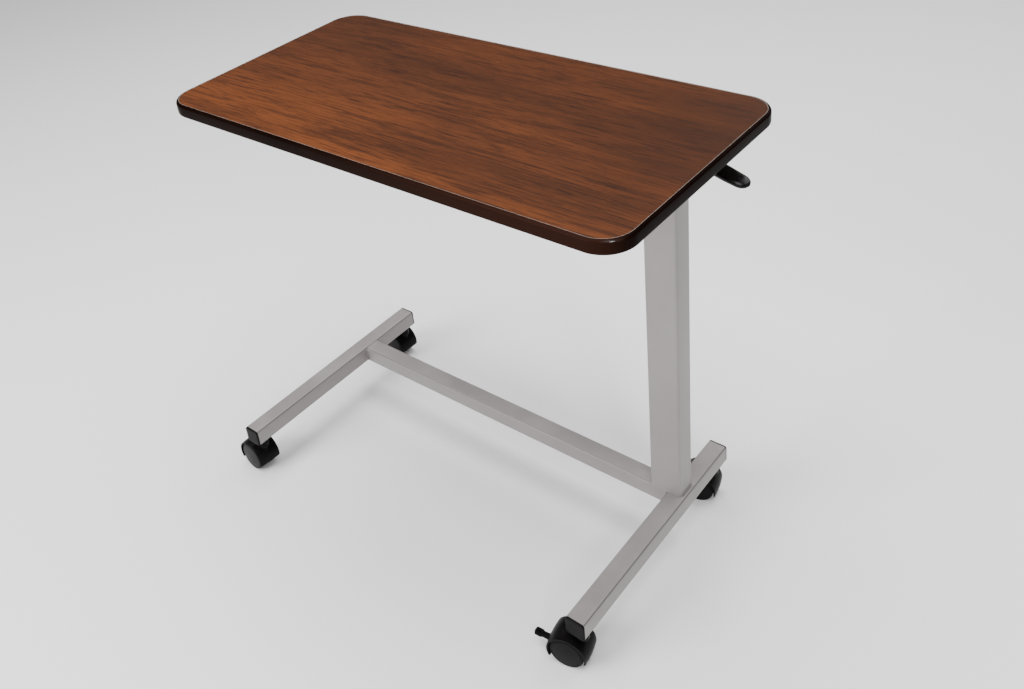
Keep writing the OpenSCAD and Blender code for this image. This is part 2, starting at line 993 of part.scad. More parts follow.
placed() pedal_pin(right_rear);  // right_rear_pedal_pin
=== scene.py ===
"""Looks for the overbed table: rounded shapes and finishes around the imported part."""

import json
import math

import bmesh
import bpy
from bpy.props import FloatProperty, FloatVectorProperty, PointerProperty
from mathutils import Matrix, Vector


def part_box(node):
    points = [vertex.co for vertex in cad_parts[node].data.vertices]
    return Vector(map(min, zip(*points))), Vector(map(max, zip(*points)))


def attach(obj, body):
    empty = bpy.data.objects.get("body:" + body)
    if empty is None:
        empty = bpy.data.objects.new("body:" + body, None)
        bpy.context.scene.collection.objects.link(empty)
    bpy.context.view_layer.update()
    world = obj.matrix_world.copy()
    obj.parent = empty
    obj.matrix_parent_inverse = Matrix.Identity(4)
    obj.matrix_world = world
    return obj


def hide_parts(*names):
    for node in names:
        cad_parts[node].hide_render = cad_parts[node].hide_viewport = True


bl_info = {
    "name": "Overbed table",
    "version": (1, 0, 0),
    "blender": (4, 5, 0),
    "location": "View3D > Sidebar > Table",
    "description": "Rounded pieces and finishes for an overbed table",
    "category": "Object",
}

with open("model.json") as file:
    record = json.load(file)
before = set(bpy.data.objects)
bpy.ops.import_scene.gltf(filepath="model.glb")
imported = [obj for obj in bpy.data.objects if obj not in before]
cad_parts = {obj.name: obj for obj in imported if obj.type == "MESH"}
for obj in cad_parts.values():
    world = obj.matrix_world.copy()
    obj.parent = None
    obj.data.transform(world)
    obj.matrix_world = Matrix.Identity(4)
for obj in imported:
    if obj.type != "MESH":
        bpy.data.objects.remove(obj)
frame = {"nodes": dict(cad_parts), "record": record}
NODES = frame["nodes"]
JOINTS = {j["name"]: j for j in frame["record"]["behaviour"]["joints"]}
SLOT = {s["node"]: s["material_slot"] for s in frame["record"]["subparts"]}
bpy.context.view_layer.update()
MM = 0.001
CORNERS = ("left_front", "left_rear", "right_front", "right_rear")
SMOOTH_ANGLE = math.radians(35)
BEVEL_ANGLE = math.radians(40)
BEVEL_STEPS = 3
TUBE_EASE = 0.35 * MM
CORNER_STEPS = 6


# ---------------------------------------------------------------- settings


class TableSizes(bpy.types.PropertyGroup):
    tube_corner: FloatProperty(
        name="Tube corner", description="Outer corner radius of the base tubes",
        default=4.4 * MM, min=1 * MM, max=6 * MM, unit="LENGTH")
    mast_corner: FloatProperty(
        name="Mast corner", description="Outer corner radius of the lower mast",
        default=4.2 * MM, min=1 * MM, max=8 * MM, unit="LENGTH")
    band_round: FloatProperty(
        name="Band rounding", description="Rounding of the edge band's outer edges",
        default=4.2 * MM, min=1 * MM, max=8 * MM, unit="LENGTH")
    moulded_edge: FloatProperty(
        name="Moulded edge", description="Rounding of the edges of moulded pieces",
        default=1.0 * MM, min=0.2 * MM, max=2 * MM, unit="LENGTH")
    sheet_edge: FloatProperty(
        name="Sheet edge", description="Rounding of cut steel edges",
        default=0.4 * MM, min=0.1 * MM, max=1 * MM, unit="LENGTH")
    weld_ripple: FloatProperty(
        name="Weld ripple", description="Spacing of the ripples along a weld",
        default=2.4 * MM, min=1 * MM, max=5 * MM, unit="LENGTH")


class TableColours(bpy.types.PropertyGroup):
    paint: FloatVectorProperty(
        name="Frame paint", description="Silver-grey powder coat of the frame",
        subtype="COLOR", size=3, min=0, max=1, default=(0.232, 0.213, 0.209))
    walnut: FloatVectorProperty(
        name="Walnut", description="Middle tone of the laminate's grain",
        subtype="COLOR", size=3, min=0, max=1, default=(0.062, 0.0180, 0.0056))
    walnut_dark: FloatVectorProperty(
        name="Walnut, dark", description="Dark streaks of the laminate's grain",
        subtype="COLOR", size=3, min=0, max=1, default=(0.0165, 0.0053, 0.0022))
    walnut_warm: FloatVectorProperty(
        name="Walnut, warm", description="Warm patches of the laminate's grain",
        subtype="COLOR", size=3, min=0, max=1, default=(0.102, 0.0285, 0.0072))
    band: FloatVectorProperty(
        name="Edge band", description="Near-black brown of the edge band",
        subtype="COLOR", size=3, min=0, max=1, default=(0.0048, 0.0018, 0.0011))
    black: FloatVectorProperty(
        name="Black plastic", description="Black of the moulded pieces",
        subtype="COLOR", size=3, min=0, max=1, default=(0.0034, 0.0030, 0.0032))


# ---------------------------------------------------------------- shader maths


class Value:
    """A socket that can be used in sums and products."""

    def __init__(self, paint, socket):
        self.paint = paint
        self.socket = socket

    def maths(self, operation, *values):
        return self.paint.node("ShaderNodeMath", {"operation": operation},
                               dict(enumerate(values)))

    def __add__(self, other):
        return self.maths("ADD", self, other)

    def __radd__(self, other):
        return self.maths("ADD", other, self)

    def __sub__(self, other):
        return self.maths("SUBTRACT", self, other)

    def __rsub__(self, other):
        return self.maths("SUBTRACT", other, self)

    def __mul__(self, other):
        return self.maths("MULTIPLY", self, other)

    def sine(self):
        return self.maths("SINE", self)

    def step(self, low, high):
        """0 below low, 1 above high, smooth between them."""
        return self.paint.node(
            "ShaderNodeMapRange", {"interpolation_type": "SMOOTHSTEP"},
            {"Value": self, "From Min": low, "From Max": high})


class Paint:
    """One material: its nodes, and the Principled shader that they feed."""

    def __init__(self, name, **uniform):
        self.material = bpy.data.materials.new(name)
        self.material.use_nodes = True
        self.tree = self.material.node_tree
        self.shader = self.tree.nodes["Principled BSDF"]
        for socket, value in uniform.items():
            title = {"ior": "IOR", "gloss": "Specular IOR Level"}.get(
                socket, socket.replace("_", " ").title())
            self.shader.inputs[title].default_value = value
        self.place = self.node("ShaderNodeTexCoord", out="Object")
        self.heights = []

    def node(self, kind, settings=None, sockets=None, out=0):
        made = self.tree.nodes.new(kind)
        for key, value in (settings or {}).items():
            setattr(made, key, value)
        for key, value in (sockets or {}).items():
            socket = made.inputs[key]
            if isinstance(value, Value):
                self.tree.links.new(value.socket, socket)
            elif socket.type == "RGBA":
                socket.default_value = (*value, 1)
            else:
                socket.default_value = value
        return Value(self, made.outputs[out])

    def stretched(self, scales):
        return self.node(
            "ShaderNodeVectorMath", {"operation": "MULTIPLY"}, {0: self.place, 1: scales})

    def noise(self, scale, detail=2, rough=0.5, distort=0.0):
        """Noise whose features are 1/scale metres long along each axis."""
        scales = scale if isinstance(scale, tuple) else (scale,) * 3
        return self.node(
            "ShaderNodeTexNoise", {"noise_dimensions": "3D"},
            {"Vector": self.stretched(scales), "Scale": 1.0, "Detail": detail,
             "Roughness": rough, "Distortion": distort})

    def axis(self, name, where=None):
        return self.node("ShaderNodeSeparateXYZ", None, {0: where or self.place}, out=name)

    def mix(self, factor, a, b):
        return self.node("ShaderNodeMix", {"data_type": "RGBA"}, {0: factor, 6: a, 7: b}, out=2)

    def normal(self, name):
        return self.axis(name, self.node("ShaderNodeNewGeometry", out="Normal"))

    def facing_up(self):
        return self.normal("Z").step(0.6, 0.98)

    def facing(self, way):
        """1 where the surface faces this way, less as it turns from it."""
        x, y, z = (self.normal(name) * part for name, part in zip("XYZ", way))
        return x + y + z

    def feed(self, socket, value):
        self.tree.links.new(value.socket, self.shader.inputs[socket])

    def raise_by(self, height, distance, strength=1.0):
        """Adds a relief; height runs from 0 to 1 and distance is in metres."""
        self.heights.append((height, distance, strength))

    def done(self):
        last = None
        for height, distance, strength in self.heights:
            sockets = {"Height": height, "Distance": distance, "Strength": strength}
            if last:
                sockets["Normal"] = last
            last = self.node("ShaderNodeBump", None, sockets)
        if last:
            self.feed("Normal", last)
        return self.material


def scaled(colour, factor):
    return tuple(min(1.0, c * factor) for c in colour)


def frame_paint(name, colour):
    """Powder coat: fine orange peel, faint clouds, dust and painted light on top, painted dark
    reflections along the rounded corners, scuffs.
    """
    p = Paint(name, roughness=0.42, ior=1.5)
    peel = p.noise(620, detail=2, rough=0.55)
    cloud = p.noise(7, detail=4, rough=0.6)
    speck = p.noise(2600, detail=1)
    tone = p.mix(cloud.step(0.3, 0.7), scaled(colour, 0.93), scaled(colour, 1.06))
    tone = p.mix(speck.step(0.35, 0.68) * 0.35, tone, scaled(colour, 1.30))
    # dust in patches on up-facing faces, which also paints light on the tops
    dust_and_lighter_tops = p.facing_up() * p.noise((16, 16, 16), detail=5, rough=0.65).step(0.35, 0.75)
    tone = p.mix(dust_and_lighter_tops * 0.25, tone, (0.38, 0.365, 0.35))
    # painted dark reflection: a dark line on the rounded corners between the tops and the sides
    rise = p.normal("Z")
    edge = rise.step(0.54, 0.64) * (1 - rise.step(0.74, 0.84))
    tone = p.mix(edge * 0.85, tone, scaled(colour, 0.22))
    scuff = p.noise((60, 60, 420), detail=4, rough=0.7, distort=0.6).step(0.68, 0.76)
    low = 1 - p.axis("Z").step(0.07, 0.22)
    tone = p.mix(scuff * low * 0.5, tone, scaled(colour, 0.55))
    p.feed("Base Color", tone)
    p.feed("Roughness", 0.36 + cloud * 0.10 + dust_and_lighter_tops * 0.16 + scuff * 0.10)
    p.feed("Metallic", 0.10 + speck.step(0.4, 0.7) * 0.15)
    p.raise_by(peel, 0.00006, 0.55)
    p.raise_by(speck, 0.00002, 0.35)
    return p.done()


def weld_paint(name, colour):
    p = Paint(name, roughness=0.45, metallic=0.3)
    grain = p.noise(1400, detail=3, rough=0.6)
    tone = p.mix(grain.step(0.3, 0.7), scaled(colour, 0.72), scaled(colour, 0.98))
    p.feed("Base Color", tone)
    p.feed("Roughness", 0.40 + grain * 0.15)
    p.raise_by(grain, 0.00012, 0.6)
    return p.done()


def walnut(name, colours):
    """Walnut grain along X: figure, fine streaks and pores, with painted light at the front left
    and painted shade towards the back right.
    """
    p = Paint(name, roughness=0.40, ior=1.48, gloss=0.12)
    drift = p.noise((2.2, 7.0, 1), detail=3, rough=0.5)
    across = p.axis("Y") + (drift - 0.5) * 0.05
    figure = p.noise((2.4, 24.0, 1), detail=5, rough=0.6, distort=0.3)
    broad = p.noise((1.5, 9.0, 1), detail=3, rough=0.55, distort=0.3)
    lines = (across * 1050 + p.noise((5.0, 60, 1), detail=4, rough=0.6) * 15).sine()
    streak = p.noise((11, 150, 1), detail=5, rough=0.62, distort=0.25)
    thread = p.noise((18, 460, 1), detail=5, rough=0.65, distort=0.2)
    fibre = p.noise((46, 1150, 1), detail=4, rough=0.7)
    warm = p.noise((1.9, 6.0, 1), detail=3, rough=0.5, distort=0.3)
    walnut_dark = tuple(colours.walnut_dark)
    tone = p.mix(warm.step(0.44, 0.68) * 0.75, tuple(colours.walnut), tuple(colours.walnut_warm))
    # painted light: the front left of the top lighter and warmer
    painted_front_light = (1 - p.axis("Y").step(-0.19, 0.04)) * (1 - p.axis("X").step(-0.10, 0.38) * 0.45)
    tone = p.mix(painted_front_light * 0.65, tone, scaled(colours.walnut_warm, 1.35))
    tone = p.mix(broad.step(0.46, 0.66) * 0.34, tone, walnut_dark)
    tone = p.mix(figure.step(0.46, 0.68) * 0.42, tone, walnut_dark)
    tone = p.mix(streak.step(0.50, 0.64) * 0.55, tone, walnut_dark)
    tone = p.mix(lines.step(0.2, 1.0) * thread.step(0.40, 0.58) * 0.55, tone, walnut_dark)
    tone = p.mix(thread.step(0.53, 0.64) * 0.58, tone, scaled(walnut_dark, 0.9))
    tone = p.mix(fibre.step(0.52, 0.74) * 0.45, tone, scaled(colours.walnut_warm, 1.2))
    shaded = p.axis("X").step(0.10, 0.38) * p.axis("Y").step(-0.17, 0.02)
    tone = p.mix(shaded * 0.42, tone, walnut_dark)
    pore = p.noise((60, 1700, 1), detail=2, rough=0.5).step(0.63, 0.70)
    tone = p.mix(pore * 0.6, tone, scaled(walnut_dark, 0.5))
    p.feed("Base Color", tone)
    haze = p.noise(14, detail=4, rough=0.6)
    p.feed("Roughness", 0.37 + haze * 0.10 + pore * 0.18 + fibre * 0.05)
    p.raise_by(pore, 0.00005, 0.5)
    p.raise_by(fibre, 0.00003, 0.35)
    return p.done()


def moulded(name, colour, rough=0.42, grain=1500, relief=0.00004, tint=1.6, scuffed=0.0,
            gloss=0.06):
    """Moulded plastic: fine grain, faint flow marks, dust low down, rubbed spots."""
    p = Paint(name, roughness=rough, ior=1.47, gloss=gloss)
    skin = p.noise(grain, detail=2, rough=0.55)
    flow = p.noise((28, 28, 28), detail=4, rough=0.6, distort=0.4)
    rub = p.noise((180, 180, 180), detail=5, rough=0.7).step(0.60, 0.72)
    tone = p.mix(flow.step(0.35, 0.7), scaled(colour, 0.85), scaled(colour, tint))
    dust_and_lighter_tops = p.noise(70, detail=5, rough=0.65).step(0.45, 0.8) * (
        p.facing_up() * 0.5 + (1 - p.axis("Z").step(0.0, 0.03)) * 0.6)
    tone = p.mix(dust_and_lighter_tops * 0.10, tone, (0.10, 0.094, 0.088))
    if scuffed:
        tone = p.mix(rub * scuffed * 0.3, tone, (0.08, 0.077, 0.074))
    p.feed("Base Color", tone)
    p.feed("Roughness", (rough - 0.06) + flow * 0.10 + dust_and_lighter_tops * 0.20 + rub * 0.10)
    p.raise_by(skin, relief, 0.5)
    return p.done()


def wheel_nylon(name, colour):
    """Black nylon, with the tread rubbed grey; 'tread' is 1 on the running surface."""
    p = Paint(name, roughness=0.38, ior=1.5, gloss=0.07)
    tread = p.node("ShaderNodeAttribute", {"attribute_name": "tread"}, out="Fac")
    skin = p.noise(1300, detail=2, rough=0.55)
    flow = p.noise(36, detail=4, rough=0.6, distort=0.3)
    grit = p.noise(420, detail=5, rough=0.75)
    worn = tread.step(0.3, 0.9) * (0.35 + grit.step(0.35, 0.7) * 0.5)
    tone = p.mix(flow.step(0.3, 0.7), scaled(colour, 0.9), scaled(colour, 1.7))
    tone = p.mix(worn, tone, (0.020, 0.019, 0.018))
    p.feed("Base Color", tone)
    p.feed("Roughness", 0.34 + flow * 0.08 + worn * 0.34)
    p.raise_by(skin, 0.00003, 0.4)
    p.raise_by(grit * tread, 0.00012, 0.5)
    return p.done()


# The way that the edge band's glossiest spot faces.
SHINE_WAY = (0.58, -0.60, 0.55)


def band_vinyl(name, colour):
    """Extruded edge band: draw lines, painted light browning the front towards the near corner,
    a pale inner lip, a bright corner.
    """
    p = Paint(name, roughness=0.25, ior=1.52, gloss=0.012, coat_roughness=0.14)
    draw = p.noise((5, 5, 900), detail=3, rough=0.6)
    cloud = p.noise(9, detail=4, rough=0.6)
    # painted light: the front of the band browner towards the near right corner
    painted_corner_light = p.axis("X").step(-0.12, 0.30) * (1 - p.axis("Y").step(-0.19, -0.15))
    tone = p.mix(cloud.step(0.3, 0.7), scaled(colour, 0.8), scaled(colour, 1.4))
    tone = p.mix(painted_corner_light * 0.8, tone, scaled(colour, 4.5))
    nick = p.noise((240, 240, 240), detail=4, rough=0.7).step(0.70, 0.76)
    tone = p.mix(nick * 0.4, tone, (0.04, 0.026, 0.020))
    lip = p.node("ShaderNodeAttribute", {"attribute_name": "lip"}, out="Fac")
    tone = p.mix(lip.step(0.45, 0.55) * (0.55 + cloud * 0.4), tone, (0.42, 0.36, 0.32))
    p.feed("Base Color", tone)
    p.feed("Roughness", 0.20 + cloud * 0.10 + draw * 0.08 + nick * 0.2)
    p.feed("Coat Weight", p.facing(SHINE_WAY).step(0.94, 0.98))
    p.raise_by(draw, 0.00004, 0.35)
    return p.done()


def bare_metal(name, colour, rough=0.3, brushed=(40, 40, 1400), spots=0.3):
    """Steel, brass or plating: turned or brushed lines and a few dull spots."""
    p = Paint(name, metallic=1.0, roughness=rough)
    lines = p.noise(brushed, detail=3, rough=0.6)
    dull = p.noise(120, detail=5, rough=0.65).step(0.5, 0.75)
    tone = p.mix(lines.step(0.3, 0.7), scaled(colour, 0.86), scaled(colour, 1.08))
    tone = p.mix(dull * spots, tone, scaled(colour, 0.6))
    p.feed("Base Color", tone)
    p.feed("Roughness", (rough - 0.05) + lines * 0.12 + dull * 0.18)
    p.raise_by(lines, 0.00002, 0.4)
    return p.done()


def chipped_board(name, colour):
    """Particle board: flat chips in several browns."""
    p = Paint(name, roughness=0.75)
    chips = p.node("ShaderNodeTexVoronoi", {"feature": "F1"},
                   {"Vector": p.stretched((260, 340, 700)), "Scale": 1.0}, out="Color")
    shade = p.axis("X", chips)
    tone = p.mix(shade, scaled(colour, 0.6), scaled(colour, 1.35))
    p.feed("Base Color", tone)
    p.feed("Roughness", 0.66 + shade * 0.2)
    p.raise_by(shade, 0.0002, 0.5)
    return p.done()


def backing(name, colour):
    """The brown paper backing: a fine fibre print and faint rub marks."""
    p = Paint(name, roughness=0.6)
    fibre = p.noise((70, 500, 70), detail=4, rough=0.65)
    blot = p.noise(12, detail=4, rough=0.6)
    tone = p.mix(fibre.step(0.3, 0.7), scaled(colour, 0.82), scaled(colour, 1.2))
    tone = p.mix(blot.step(0.5, 0.75) * 0.4, tone, scaled(colour, 0.7))
    p.feed("Base Color", tone)
    p.feed("Roughness", 0.52 + fibre * 0.15)
    p.raise_by(fibre, 0.00004, 0.4)
    return p.done()


FINISH = {}


def mix_finishes(colours):
    black = tuple(colours.black)
    paint = tuple(colours.paint)
    FINISH.update({
        "frame_paint": frame_paint("Silver powder coat", paint),
        "bracket_paint": frame_paint("Silver powder coat, bracket", scaled(paint, 0.94)),
        "weld": weld_paint("Painted weld", paint),
        "walnut_laminate": walnut("Walnut laminate", colours),
        "band_vinyl": band_vinyl("Dark edge band", tuple(colours.band)),
        "backing_paper": backing("Backing sheet", (0.075, 0.048, 0.034)),
        "particle_board": chipped_board("Particle board", (0.42, 0.28, 0.16)),
        "cap_plastic": moulded("Cap plastic", black, rough=0.45, grain=1100, scuffed=0.3),
        "glide_nylon": moulded("Glide nylon", scaled(black, 1.5), rough=0.5),
        "paddle_plastic": moulded("Paddle plastic", scaled(black, 0.9), rough=0.22,
                                  grain=900, relief=0.00002, scuffed=0.15, gloss=0.2),
        "hood_plastic": moulded("Hood plastic", black, rough=0.36, scuffed=0.35),
        "pedal_plastic": moulded("Pedal plastic", black, rough=0.34, scuffed=0.4),
        "wheel_nylon": wheel_nylon("Wheel nylon", black),
        "lever_steel": moulded("Lever enamel", scaled(black, 2.0), rough=0.33),
        "cylinder_paint": moulded("Cylinder enamel", scaled(black, 1.5), rough=0.28),
        "plain_steel": bare_metal("Plain steel", (0.42, 0.42, 0.43), rough=0.42),
        "zinc_steel": bare_metal("Zinc plate", (0.58, 0.585, 0.59), rough=0.3,
                                 brushed=(300, 300, 900)),
        "rod_chrome": bare_metal("Plated rod", (0.66, 0.67, 0.68), rough=0.14, spots=0.1),
        "piston_brass": bare_metal("Turned brass", (0.56, 0.42, 0.2), rough=0.3),
    })


# ---------------------------------------------------------------- mesh helpers


def smooth(obj):
    for face in obj.data.polygons:
        face.use_smooth = True
    obj.data.set_sharp_from_angle(angle=SMOOTH_ANGLE)


def finish(obj, node, body):
    """Gives a new piece the finish of the node's slot, smooth shading and its body, and hides
    the node that it replaces.
    """
    slot = SLOT[node]
    obj.data.materials.clear()
    obj.data.materials.append(FINISH[slot])
    smooth(obj)
    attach(obj, body)
    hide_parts(node)


def from_bmesh(name, bm, heal=True):
    if heal:
        bmesh.ops.remove_doubles(bm, verts=bm.verts, dist=1e-6)
    bmesh.ops.recalc_face_normals(bm, faces=bm.faces)
    mesh = bpy.data.meshes.new(name)
    bm.to_mesh(mesh)
    bm.free()
    obj = bpy.data.objects.new(name, mesh)
    bpy.context.scene.collection.objects.link(obj)
    return obj


def ring_of(bm, points):
    return [bm.verts.new(p) for p in points]


def bridge(bm, a, b):
    for i in range(len(a)):
        j = (i + 1) % len(a)
        bm.faces.new((a[i], a[j], b[j], b[i]))


def skin(bm, rings):
    """Joins rings into one closed piece with flat ends."""
    for a, b in zip(rings, rings[1:]):
        bridge(bm, a, b)
    bm.faces.new(rings[0])
    bm.faces.new(rings[-1])


def quarter(steps, first=1):
    """Angles that divide a quarter turn into steps."""
    return [math.pi / 2 * k / steps for k in range(first, steps + 1)]


def full_turn(count):
    return [2 * math.pi * i / count for i in range(count)]


def corner_turns(half_l, half_w, radius, steps):
    """Walks a rectangle's corner arcs anticlockwise: the arc's centre and the angle on it."""
    for k, (sx, sy) in enumerate(((1, 1), (-1, 1), (-1, -1), (1, -1))):
        for i in range(steps + 1):
            yield sx * (half_l - radius), sy * (half_w - radius), math.pi / 2 * (k + i / steps)


def rounded_rect(half_l, half_w, radius):
    """Points round a rectangle with round corners, anticlockwise."""
    return [(cx + radius * math.cos(a), cy + radius * math.sin(a))
            for cx, cy, a in corner_turns(half_l, half_w, radius, CORNER_STEPS)]


def superellipse(half_l, half_w, power, count):
    points = []
    for a in full_turn(count):
        c, s = math.cos(a), math.sin(a)
        points.append((half_l * math.copysign(abs(c) ** (2 / power), c),
                       half_w * math.copysign(abs(s) ** (2 / power), s)))
    return points


def tube(name, centre, along, across, up, half_l, size, wall, radius):
    """A box tube with its ends eased, open right through."""
    bm = bmesh.new()
    ease = TUBE_EASE
    half_a, half_b = size[0] / 2, size[1] / 2
    outer = [(-half_l, ease), (-half_l + ease, 0), (half_l - ease, 0), (half_l, ease)]
    inner = [(half_l, wall - ease), (half_l - ease, wall), (-half_l + ease, wall),
             (-half_l, wall - ease)]
    rings = []
    for at, inset in outer + inner:
        shape = rounded_rect(half_a - inset, half_b - inset, max(radius - inset, 0.5 * MM))
        rings.append(ring_of(bm, [centre + along * at + across * x + up * y
                                  for x, y in shape]))
    for i, ring in enumerate(rings):
        bridge(bm, ring, rings[(i + 1) % len(rings)])
    return from_bmesh(name, bm)


def eased_copy(node, name, width):
    """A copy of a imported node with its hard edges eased."""
    bm = bmesh.new()
    bm.from_mesh(NODES[node].data)
    bmesh.ops.remove_doubles(bm, verts=bm.verts, dist=2e-5)
    bmesh.ops.dissolve_limit(bm, angle_limit=math.radians(1.0), verts=bm.verts,
                             edges=bm.edges)
    obj = from_bmesh(name, bm, heal=False)
    bevel = obj.modifiers.new("Eased edges", "BEVEL")
    bevel.width = width
    bevel.segments = BEVEL_STEPS
    bevel.limit_method = "ANGLE"
    bevel.angle_limit = BEVEL_ANGLE
    bevel.use_clamp_overlap = True
    bevel.harden_normals = False
    return obj


def middle(node):
    low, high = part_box(node)
    return (Vector(low) + Vector(high)) / 2


def extent(node):
    low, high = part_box(node)
    return Vector(high) - Vector(low)


# ---------------------------------------------------------------- frame pieces

X, Y, Z = Vector((1, 0, 0)), Vector((0, 1, 0)), Vector((0, 0, 1))
WALL = 1.5 * MM
CAP_ROUND = 1.5 * MM
PLUG_GAP = 0.1 * MM
PLUG_RIBS = 3
PLUG_RIB_DEEP = 0.5 * MM
WELD_RADIUS = 3.1 * MM
WELD_INSET = 3 * MM


def make_tubes(sizes):
    for node in ("left_foot", "right_foot"):
        size = extent(node)
        piece = tube(node + "_tube", middle(node), Y, Z, X, size.y / 2,
                     (size.z, size.x), WALL, sizes.tube_corner)
        finish(piece, node, "base")
    size = extent("crossbar")
    piece = tube("crossbar_tube", middle("crossbar"), X, Y, Z, size.x / 2,
                 (size.y, size.z), WALL, sizes.tube_corner)
    finish(piece, "crossbar", "base")
    size = extent("lower_mast")
    piece = tube("lower_mast_tube", middle("lower_mast"), Z, X, Y, size.z / 2,
                 (size.x, size.y), WALL, sizes.mast_corner)
    finish(piece, "lower_mast", "base")


def make_caps(sizes):
    """End caps: a pillow-edged plate and a ribbed plug behind it."""
    for node in [c + "_cap" for c in CORNERS]:
        low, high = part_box(node)
        foot_low, foot_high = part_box(node.split("_")[0] + "_foot")
        rear = node.endswith("rear_cap")
        out = 1 if rear else -1
        face = foot_high[1] if rear else foot_low[1]
        tip = high[1] if rear else low[1]
        centre = Vector(((low[0] + high[0]) / 2, 0, (low[2] + high[2]) / 2))
        half = (high[0] - low[0]) / 2
        thick = abs(tip - face)
        bm = bmesh.new()
        pillow = thick - CAP_ROUND
        levels = [(0.0, 0.35 * MM), (0.25 * MM, 0.0), (pillow, 0.0)]
        levels += [(pillow + 0.9 * CAP_ROUND * math.sin(a), CAP_ROUND * (1 - math.cos(a)))
                   for a in quarter(5)]
        levels += [(thick, 6 * MM)]
        rings = []
        for at, inset in levels:
            shape = rounded_rect(half - inset, half - inset,
                                 max(sizes.tube_corner - inset, 1.0 * MM))
            rings.append(ring_of(bm, [centre + X * x + Z * z + Y * (face + out * at)
                                      for x, z in shape]))
        skin(bm, rings)
        plug = half - WALL - PLUG_GAP
        depth = max(abs(face - low[1]), abs(high[1] - face))
        rings = []
        for k in range(PLUG_RIBS * 2 + 1):
            inset = PLUG_RIB_DEEP if k % 2 else 0.0
            shape = rounded_rect(plug - inset, plug - inset, 1.5 * MM)
            at = face - out * depth * k / (PLUG_RIBS * 2)
            rings.append(ring_of(bm, [centre + X * x + Z * z + Y * at for x, z in shape]))
        skin(bm, rings)
        finish(from_bmesh(node + "_moulding", bm), node, "base")


def bead(bm, start, end, side_a, side_b, radius, ripple):
    """A rippled fillet from start to end in the corner of side_a and side_b."""
    length = (end - start).length
    along = (end - start).normalized()
    count = max(6, int(length / ripple * 6))
    rings = []
    for i in range(count + 1):
        s = i / count
        ends = min(1.0, min(s, 1 - s) * length / (1.2 * radius) + 0.35)
        wave = abs(math.sin(math.pi * s * length / ripple))
        r = radius * ends * (0.86 + 0.14 * wave)
        at = start + along * (length * s)
        points = [at]
        for a in quarter(6, first=0):
            bulge = r * (1 - 0.22 * math.sin(2 * a))
            points.append(at + side_a * bulge * math.cos(a) + side_b * bulge * math.sin(a))
        rings.append(ring_of(bm, points))
    skin(bm, rings)


def make_welds(sizes):
    """Beads up the crossbar's four end corners and along two sides of the mast's foot."""
    bar_low, bar_high = (Vector(c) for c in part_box("crossbar"))
    mast_low, mast_high = (Vector(c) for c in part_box("lower_mast"))
    bm = bmesh.new()
    lift = sizes.tube_corner * 0.6
    for x, sx in ((bar_low.x, 1), (bar_high.x, -1)):
        for y, sy in ((bar_low.y, -1), (bar_high.y, 1)):
            bead(bm, Vector((x, y, bar_low.z + lift)), Vector((x, y, bar_high.z - lift)),
                 X * sx, Y * sy, WELD_RADIUS, sizes.weld_ripple)
    for x, sx, low, high in ((mast_low.x, -1, bar_low, bar_high),
                             (mast_high.x, 1, mast_low, mast_high)):
        bead(bm, Vector((x, low.y + WELD_INSET, mast_low.z)),
             Vector((x, high.y - WELD_INSET, mast_low.z)),
             X * sx, Z, WELD_RADIUS, sizes.weld_ripple)
    finish(from_bmesh("weld_ripples", bm), "weld_beads", "base")


# ---------------------------------------------------------------- the top


TOP_CORNER = 42 * MM
LIP = 0.7 * MM
BARB_DEEP = 8 * MM
BARB_HALF = 1 * MM
BAND_ROUND_STEPS = 8
BAND_CORNER_STEPS = 24


def make_band(sizes):
    """The edge band: its rounded section swept round the board."""
    low, high = (Vector(c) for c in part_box("edge_band"))
    core_low, core_high = (Vector(c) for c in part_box("top_core"))
    half_l, half_w = (core_high.x - core_low.x) / 2, (core_high.y - core_low.y) / 2
    out = (high.x - low.x) / 2 - half_l
    corner = TOP_CORNER - out
    half_h = (high.z - low.z) / 2
    mid = (low + high) / 2
    r = min(sizes.band_round, out - 0.2 * MM)
    arc = [(out - r + r * math.sin(a), half_h - r + r * math.cos(a))
           for a in quarter(BAND_ROUND_STEPS, first=0)]
    section = [(0.0, half_h), (LIP, half_h), (LIP + 0.05 * MM, half_h), *arc]
    section += [(x, -z) for x, z in reversed(arc)]
    section += [(0.0, -half_h), (0.0, -BARB_HALF), (-BARB_DEEP, -BARB_HALF),
                (-BARB_DEEP, BARB_HALF), (0.0, BARB_HALF)]
    bm = bmesh.new()
    columns = []
    for cx, cy, a in corner_turns(half_l, half_w, corner, BAND_CORNER_STEPS):
        d = Vector((math.cos(a), math.sin(a), 0))
        columns.append(ring_of(bm, [
            mid + Vector((cx, cy, z)) + d * (corner + x) for x, z in section]))
    for i, column in enumerate(columns):
        bridge(bm, column, columns[(i + 1) % len(columns)])
    piece = from_bmesh("edge_band_moulding", bm)
    inner = piece.data.attributes.new("lip", "FLOAT", "POINT")
    for v in piece.data.vertices:
        dx = max(0.0, abs(v.co.x - mid.x) - (half_l - corner))
        dy = max(0.0, abs(v.co.y - mid.y) - (half_w - corner))
        off = math.hypot(dx, dy) - corner
        on_top = v.co.z > mid.z + half_h - 0.01 * MM
        inner.data[v.index].value = 1.0 if on_top and off < LIP + 0.02 * MM else 0.0
    finish(piece, "edge_band", "mast")


def make_board():
    """The core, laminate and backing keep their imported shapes."""
    for node in ("top_core", "top_laminate", "backing_sheet"):
        dress(node)


def dress(node):
    """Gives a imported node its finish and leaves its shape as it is."""
    slots = NODES[node].data.materials
    slots.clear()
    slots.append(FINISH[SLOT[node]])


# ---------------------------------------------------------------- lever


